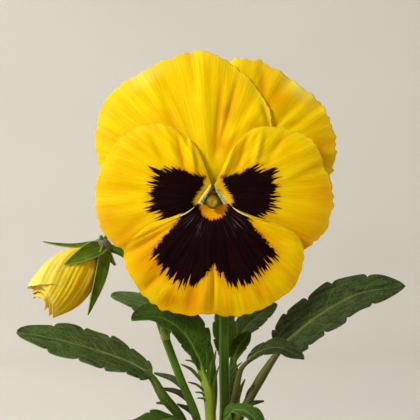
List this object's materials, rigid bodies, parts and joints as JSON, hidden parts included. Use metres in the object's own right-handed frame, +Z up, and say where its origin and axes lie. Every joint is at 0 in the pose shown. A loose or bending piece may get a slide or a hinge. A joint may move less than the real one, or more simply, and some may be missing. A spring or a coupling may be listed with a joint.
{
  "type": "potted pansy planter",
  "caption": "Potted pansy with a large yellow, dark-blotched bloom, a nodding bud, toothed leaves and a plain terracotta pot of soil.",
  "frame": {"origin": "centre of the pot's flat foot, on the surface it stands on", "axes": "+Z up; the bloom faces -Y; +X is to the right as seen from the front"},
  "size_m": [0.1221, 0.11, 0.2284],
  "materials": {
    "petal": "satin, yellow with a dark blotch",
    "lower_petal": "satin, deeper yellow with a dark blotch",
    "bud_petal": "satin, pale yellow",
    "leaf": "waxy satin, dark green",
    "stalk": "smooth, juicy green",
    "calyx": "satin green",
    "stigma": "waxy olive green",
    "anther": "matt orange brown",
    "potting_soil": "matt, crumbly",
    "terracotta": "unglazed, matt"
  },
  "bodies": {
    "root": {"pot": "terracotta", "soil": "potting_soil", "bloom_stalk": "stalk", "bud_stalk": "stalk", "leaf_left": "leaf", "leaf_right": "leaf", "leaf_front_right": "leaf", "leaf_centre_left": "leaf", "leaf_young": "leaf", "leaf_back_left": "leaf", "leaf_behind_right": "leaf", "leaf_dark_right": "leaf", "leaf_bottom_left": "leaf", "leaf_bottom_right": "leaf", "leaf_low_1": "leaf", "leaf_low_2": "leaf", "leaf_low_3": "leaf", "leaf_low_4": "leaf", "crown": "stalk", "petal_upper_left": "petal", "petal_upper_right": "petal", "petal_side_left": "petal", "petal_side_right": "petal", "petal_lower": "lower_petal", "bloom_calyx": "calyx", "pistil": "stigma", "anthers": "anther", "bud_petals": "bud_petal", "bud_calyx": "calyx"}
  },
  "joints": []
}
